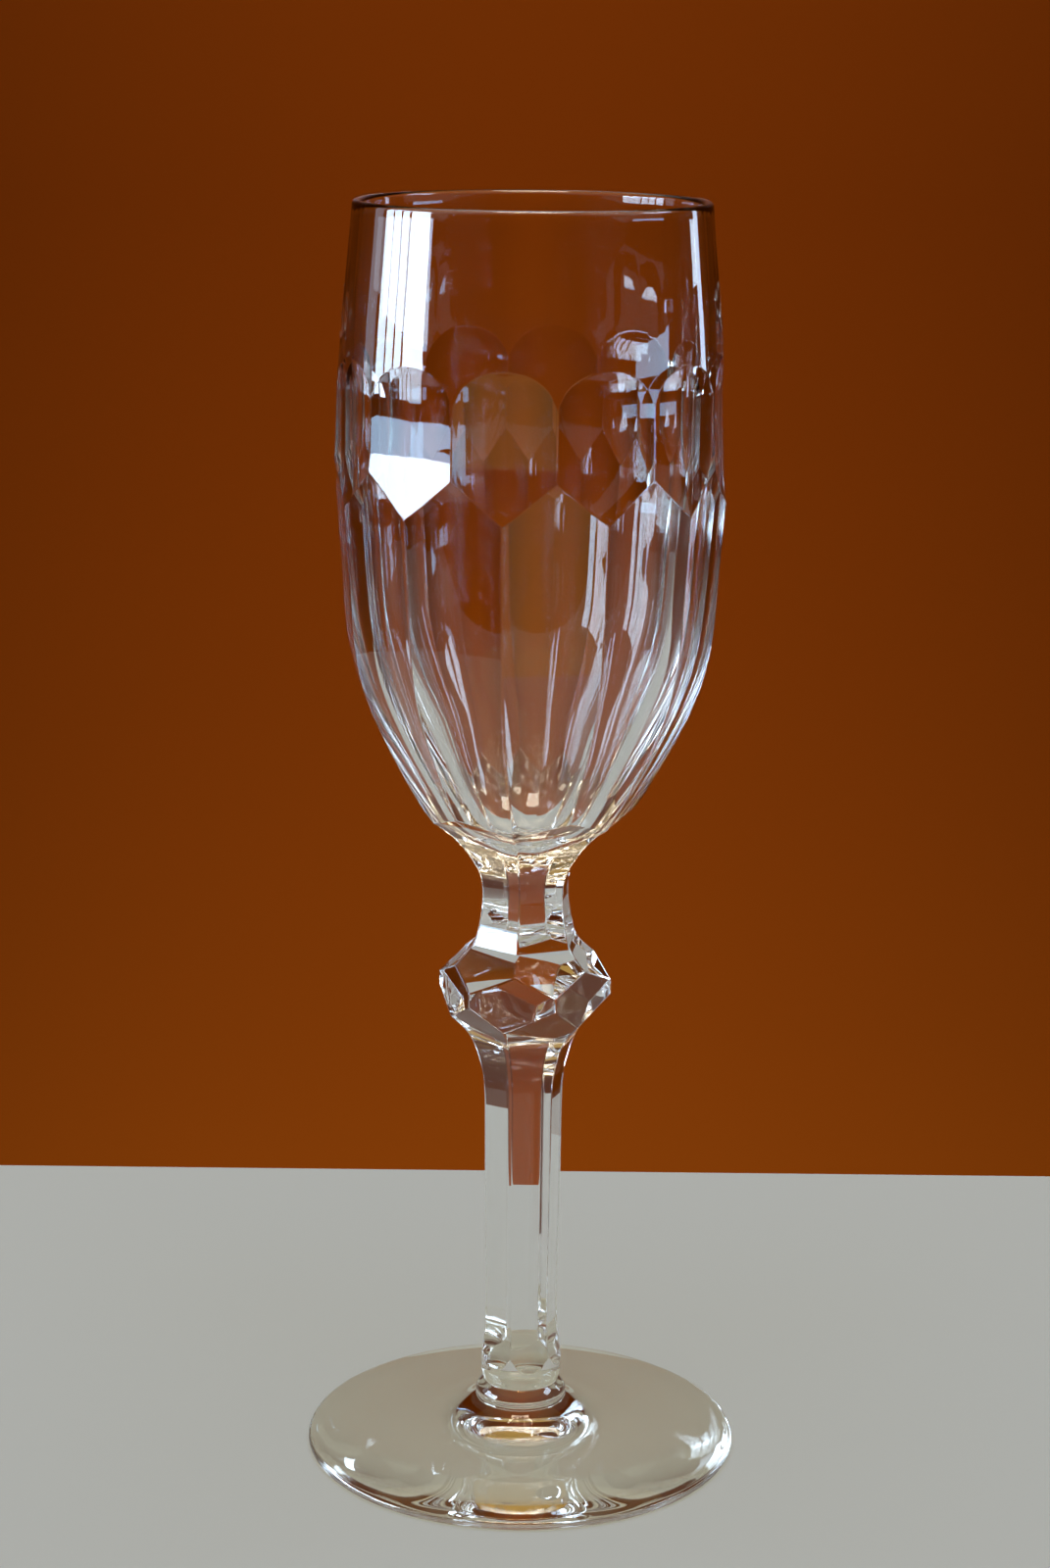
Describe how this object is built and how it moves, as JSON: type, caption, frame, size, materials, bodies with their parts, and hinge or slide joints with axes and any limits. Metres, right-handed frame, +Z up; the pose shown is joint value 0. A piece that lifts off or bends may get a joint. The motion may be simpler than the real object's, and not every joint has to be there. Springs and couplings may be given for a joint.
{
  "type": "champagne flute",
  "caption": "Stemmed crystal glass with a tall bowl cut in arched panels over long flutes, a faceted knop and stem, and a wide round foot.",
  "frame": {"origin": "centre of the foot, on the plane that the foot stands on", "axes": "+Z up along the stem to the rim, -Y towards the front, +X to the right"},
  "size_m": [0.072, 0.072, 0.2076],
  "materials": {
    "crystal": "clear colourless lead crystal, ground and polished"
  },
  "bodies": {
    "root": {"bowl": "crystal", "neck": "crystal", "knop": "crystal", "stem": "crystal", "merese": "crystal", "foot": "crystal"}
  },
  "joints": []
}
